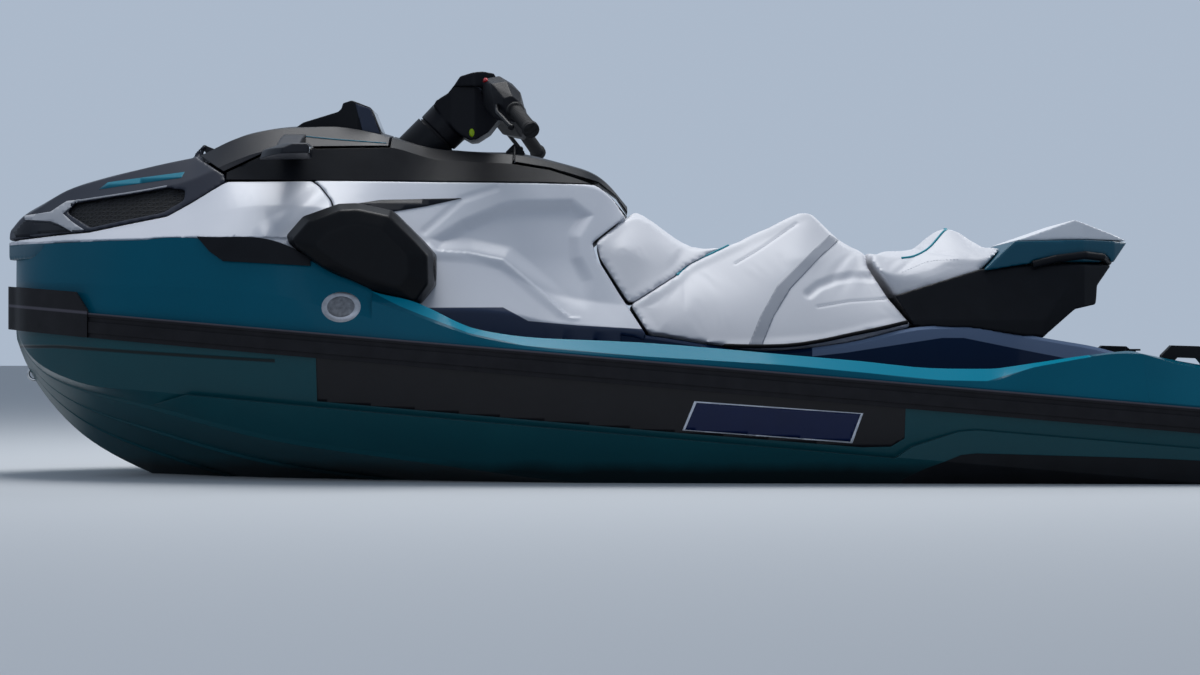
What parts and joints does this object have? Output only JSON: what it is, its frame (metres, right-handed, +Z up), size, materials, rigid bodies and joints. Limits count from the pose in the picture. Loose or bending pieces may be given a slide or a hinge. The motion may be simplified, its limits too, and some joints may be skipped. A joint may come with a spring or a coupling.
{
  "type": "personal watercraft",
  "caption": "Seated jet-driven runabout afloat: V hull with rub rails, deck with footwells, long seat, steering bar, lidded storage and a steerable, trimming, reversing jet",
  "frame": {"origin": "On the centre plane amidships at the waterline", "axes": "+X aft, +Y to starboard, +Z up"},
  "size_m": [3.45, 1.256, 1.2342],
  "materials": {
    "hull_gelcoat": "glossy dark teal green gelcoat",
    "deck_gelcoat": "glossy teal metallic gelcoat",
    "hood_paint": "satin graphite paint",
    "panel_paint": "light silver white gloss paint",
    "black_moulding": "matt black moulded plastic",
    "rail_rubber": "black extruded rubber",
    "grip_rubber": "soft black grip rubber",
    "mat_foam": "grooved closed cell foam",
    "seat_vinyl": "light grey marine vinyl",
    "bar_steel": "black coated steel",
    "grab_bar_plastic": "grey moulded plastic",
    "jet_aluminium": "cast aluminium",
    "prop_steel": "stainless steel"
  },
  "bodies": {
    "craft": {"bow_bumper": "rail_rubber", "bow_eye": "prop_steel", "cleat_port": "black_moulding", "cleat_starboard": "black_moulding", "console": "black_moulding", "deck": "deck_gelcoat", "driver_seat": "seat_vinyl", "flank_vent_port": "black_moulding", "flank_vent_starboard": "black_moulding", "foot_mat_port": "mat_foam", "foot_mat_starboard": "mat_foam", "front_panel_port": "panel_paint", "front_panel_starboard": "panel_paint", "glovebox_tub": "black_moulding", "grab_bar": "grab_bar_plastic", "handle_cap": "panel_paint", "handle_cover": "deck_gelcoat", "hood": "hood_paint", "hull": "hull_gelcoat", "intake_grate": "jet_aluminium", "intake_grille_port": "black_moulding", "intake_grille_starboard": "black_moulding", "knee_panel_port": "panel_paint", "knee_panel_starboard": "panel_paint", "middle_seat": "seat_vinyl", "platform_mat": "mat_foam", "pump_housing": "jet_aluminium", "rear_base": "black_moulding", "rear_seat": "seat_vinyl", "ride_plate": "black_moulding", "rub_rail_port": "rail_rubber", "rub_rail_starboard": "rail_rubber", "speaker_pod_port": "black_moulding", "speaker_pod_starboard": "black_moulding", "sponson_port": "black_moulding", "sponson_starboard": "black_moulding", "steering_collar": "black_moulding", "step_bracket": "black_moulding", "stern_eye_port": "prop_steel", "stern_eye_starboard": "prop_steel", "storage_bin": "black_moulding", "tow_hook": "black_moulding"},
    "steering": {"bar_pad": "grip_rubber", "grip_port": "grip_rubber", "grip_starboard": "grip_rubber", "handlebar": "bar_steel", "steering_stem": "black_moulding", "switch_pod_port": "black_moulding", "switch_pod_starboard": "black_moulding"},
    "storage_lid": {"front_lid": "hood_paint", "mirror_port": "hood_paint", "mirror_starboard": "hood_paint", "visor": "black_moulding"},
    "glovebox_lid": {"glovebox_lid": "black_moulding"},
    "impeller": {"impeller": "prop_steel"},
    "trim_ring": {"trim_ring": "jet_aluminium"},
    "nozzle": {"steering_nozzle": "jet_aluminium"},
    "bucket": {"reverse_bucket": "jet_aluminium"},
    "step": {"boarding_step": "bar_steel"}
  },
  "joints": [
    {"name": "steer", "type": "hinge", "parent": "craft", "child": "steering", "pos_m": [-0.6, 0, 0.893], "axis": [0.7071, 0, 0.7071], "range_deg": [-22, 22]},
    {"name": "trim_tilt", "type": "hinge", "parent": "craft", "child": "trim_ring", "pos_m": [1.59, 0, -0.05], "axis": [0, 1, 0], "range_deg": [-7, 7]},
    {"name": "nozzle_turn", "type": "hinge", "parent": "trim_ring", "child": "nozzle", "pos_m": [1.59, 0, -0.05], "axis": [0, 0, 1], "range_deg": [-22, 22]},
    {"name": "bucket_swing", "type": "hinge", "parent": "craft", "child": "bucket", "pos_m": [1.56, 0, -0.05], "axis": [0, 1, 0], "range_deg": [0, 85]},
    {"name": "impeller_spin", "type": "hinge", "parent": "craft", "child": "impeller", "pos_m": [1.28, 0, -0.05], "axis": [1, 0, 0], "continuous": true},
    {"name": "storage_lid_open", "type": "hinge", "parent": "craft", "child": "storage_lid", "pos_m": [-1.202, 0, 0.851], "axis": [0, -1, 0], "range_deg": [0, 60]},
    {"name": "glovebox_lid_open", "type": "hinge", "parent": "craft", "child": "glovebox_lid", "pos_m": [-0.3955, 0, 0.855], "axis": [0, -1, 0], "range_deg": [0, 65]},
    {"name": "step_fold", "type": "hinge", "parent": "craft", "child": "step", "pos_m": [1.708, 0, 0.118], "axis": [0, 1, 0], "range_deg": [0, 170]}
  ],
  "couplings": [
    {"joint": "nozzle_turn", "follows": "steer", "ratio": -1}
  ]
}
